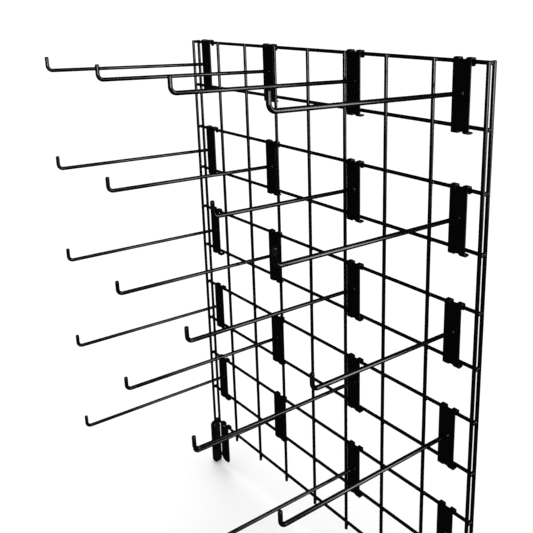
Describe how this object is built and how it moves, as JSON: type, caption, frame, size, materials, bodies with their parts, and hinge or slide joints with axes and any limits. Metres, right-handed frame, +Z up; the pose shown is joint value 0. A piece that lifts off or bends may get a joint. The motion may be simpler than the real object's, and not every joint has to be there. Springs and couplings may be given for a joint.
{
  "type": "gridwall tool panel with hooks",
  "caption": "Black wire grid wall panel for tools, standing on sleeved feet against a wall, with straight upturned hooks hung in its cells, each swinging on its cross wire.",
  "frame": {"origin": "on the axis of the top cross wire, half way along it, where wall brackets hold the panel", "axes": "+X along the panel to the right seen from the front, -Y out of the panel along the hooks, +Z up"},
  "size_m": [0.6226, 0.2987, 0.8609],
  "materials": {
    "powder_coated_wire": "gloss black powder coat on steel wire",
    "powder_coated_hook": "semi-gloss black powder coat on bent steel",
    "foot_sleeve": "matt black moulded sleeve"
  },
  "bodies": {
    "panel": {"upright_wire_1": "powder_coated_wire", "upright_wire_2": "powder_coated_wire", "upright_wire_3": "powder_coated_wire", "upright_wire_4": "powder_coated_wire", "upright_wire_5": "powder_coated_wire", "upright_wire_6": "powder_coated_wire", "upright_wire_7": "powder_coated_wire", "upright_wire_8": "powder_coated_wire", "upright_wire_9": "powder_coated_wire", "rear_edge_wire_left": "powder_coated_wire", "rear_edge_wire_right": "powder_coated_wire", "cross_wire_01": "powder_coated_wire", "cross_wire_02": "powder_coated_wire", "cross_wire_03": "powder_coated_wire", "cross_wire_04": "powder_coated_wire", "cross_wire_05": "powder_coated_wire", "cross_wire_06": "powder_coated_wire", "cross_wire_07": "powder_coated_wire", "cross_wire_08": "powder_coated_wire", "cross_wire_09": "powder_coated_wire", "cross_wire_10": "powder_coated_wire", "cross_wire_11": "powder_coated_wire", "foot_sleeve_left": "foot_sleeve", "foot_clip_left": "powder_coated_hook", "foot_sleeve_right": "foot_sleeve", "foot_clip_right": "powder_coated_hook"},
    "hook_row1_col1_body": {"hook_row1_col1": "powder_coated_hook"},
    "hook_row1_col2_body": {"hook_row1_col2": "powder_coated_hook"},
    "hook_row1_col3_body": {"hook_row1_col3": "powder_coated_hook"},
    "hook_row1_col4_body": {"hook_row1_col4": "powder_coated_hook"},
    "hook_row2_col1_body": {"hook_row2_col1": "powder_coated_hook"},
    "hook_row2_col2_body": {"hook_row2_col2": "powder_coated_hook"},
    "hook_row2_col3_body": {"hook_row2_col3": "powder_coated_hook"},
    "hook_row2_col4_body": {"hook_row2_col4": "powder_coated_hook"},
    "hook_row3_col1_body": {"hook_row3_col1": "powder_coated_hook"},
    "hook_row3_col2_body": {"hook_row3_col2": "powder_coated_hook"},
    "hook_row3_col3_body": {"hook_row3_col3": "powder_coated_hook"},
    "hook_row3_col4_body": {"hook_row3_col4": "powder_coated_hook"},
    "hook_row4_col1_body": {"hook_row4_col1": "powder_coated_hook"},
    "hook_row4_col2_body": {"hook_row4_col2": "powder_coated_hook"},
    "hook_row4_col3_body": {"hook_row4_col3": "powder_coated_hook"},
    "hook_row4_col4_body": {"hook_row4_col4": "powder_coated_hook"},
    "hook_row5_col1_body": {"hook_row5_col1": "powder_coated_hook"},
    "hook_row5_col2_body": {"hook_row5_col2": "powder_coated_hook"},
    "hook_row5_col3_body": {"hook_row5_col3": "powder_coated_hook"},
    "hook_row5_col4_body": {"hook_row5_col4": "powder_coated_hook"}
  },
  "joints": [
    {"name": "hook_row1_col1_swing", "type": "hinge", "parent": "panel", "child": "hook_row1_col1_body", "pos_m": [-0.2672, 0, 0], "axis": [-1, 0, 0], "range_deg": [0, 75]},
    {"name": "hook_row1_col2_swing", "type": "hinge", "parent": "panel", "child": "hook_row1_col2_body", "pos_m": [-0.0938, 0, 0], "axis": [-1, 0, 0], "range_deg": [0, 75]},
    {"name": "hook_row1_col3_swing", "type": "hinge", "parent": "panel", "child": "hook_row1_col3_body", "pos_m": [0.0919, 0, 0], "axis": [-1, 0, 0], "range_deg": [0, 75]},
    {"name": "hook_row1_col4_swing", "type": "hinge", "parent": "panel", "child": "hook_row1_col4_body", "pos_m": [0.2682, 0, 0], "axis": [-1, 0, 0], "range_deg": [0, 75]},
    {"name": "hook_row2_col1_swing", "type": "hinge", "parent": "panel", "child": "hook_row2_col1_body", "pos_m": [-0.2672, 0, -0.1524], "axis": [-1, 0, 0], "range_deg": [0, 20]},
    {"name": "hook_row2_col2_swing", "type": "hinge", "parent": "panel", "child": "hook_row2_col2_body", "pos_m": [-0.0938, 0, -0.1524], "axis": [-1, 0, 0], "range_deg": [0, 20]},
    {"name": "hook_row2_col3_swing", "type": "hinge", "parent": "panel", "child": "hook_row2_col3_body", "pos_m": [0.0919, 0, -0.1524], "axis": [-1, 0, 0], "range_deg": [0, 20]},
    {"name": "hook_row2_col4_swing", "type": "hinge", "parent": "panel", "child": "hook_row2_col4_body", "pos_m": [0.2702, 0, -0.1524], "axis": [-1, 0, 0], "range_deg": [0, 20]},
    {"name": "hook_row3_col1_swing", "type": "hinge", "parent": "panel", "child": "hook_row3_col1_body", "pos_m": [-0.2672, 0, -0.3048], "axis": [-1, 0, 0], "range_deg": [0, 20]},
    {"name": "hook_row3_col2_swing", "type": "hinge", "parent": "panel", "child": "hook_row3_col2_body", "pos_m": [-0.0938, 0, -0.3048], "axis": [-1, 0, 0], "range_deg": [0, 20]},
    {"name": "hook_row3_col3_swing", "type": "hinge", "parent": "panel", "child": "hook_row3_col3_body", "pos_m": [0.0919, 0, -0.3048], "axis": [-1, 0, 0], "range_deg": [0, 20]},
    {"name": "hook_row3_col4_swing", "type": "hinge", "parent": "panel", "child": "hook_row3_col4_body", "pos_m": [0.2682, 0, -0.3048], "axis": [-1, 0, 0], "range_deg": [0, 20]},
    {"name": "hook_row4_col1_swing", "type": "hinge", "parent": "panel", "child": "hook_row4_col1_body", "pos_m": [-0.2672, 0, -0.4572], "axis": [-1, 0, 0], "range_deg": [0, 20]},
    {"name": "hook_row4_col2_swing", "type": "hinge", "parent": "panel", "child": "hook_row4_col2_body", "pos_m": [-0.0938, 0, -0.4572], "axis": [-1, 0, 0], "range_deg": [0, 20]},
    {"name": "hook_row4_col3_swing", "type": "hinge", "parent": "panel", "child": "hook_row4_col3_body", "pos_m": [0.0919, 0, -0.4572], "axis": [-1, 0, 0], "range_deg": [0, 20]},
    {"name": "hook_row4_col4_swing", "type": "hinge", "parent": "panel", "child": "hook_row4_col4_body", "pos_m": [0.2657, 0, -0.4572], "axis": [-1, 0, 0], "range_deg": [0, 20]},
    {"name": "hook_row5_col1_swing", "type": "hinge", "parent": "panel", "child": "hook_row5_col1_body", "pos_m": [-0.2672, 0, -0.6096], "axis": [-1, 0, 0], "range_deg": [0, 20]},
    {"name": "hook_row5_col2_swing", "type": "hinge", "parent": "panel", "child": "hook_row5_col2_body", "pos_m": [-0.0938, 0, -0.6096], "axis": [-1, 0, 0], "range_deg": [0, 20]},
    {"name": "hook_row5_col3_swing", "type": "hinge", "parent": "panel", "child": "hook_row5_col3_body", "pos_m": [0.0919, 0, -0.6096], "axis": [-1, 0, 0], "range_deg": [0, 20]},
    {"name": "hook_row5_col4_swing", "type": "hinge", "parent": "panel", "child": "hook_row5_col4_body", "pos_m": [0.2682, 0, -0.6096], "axis": [-1, 0, 0], "range_deg": [0, 20]}
  ]
}
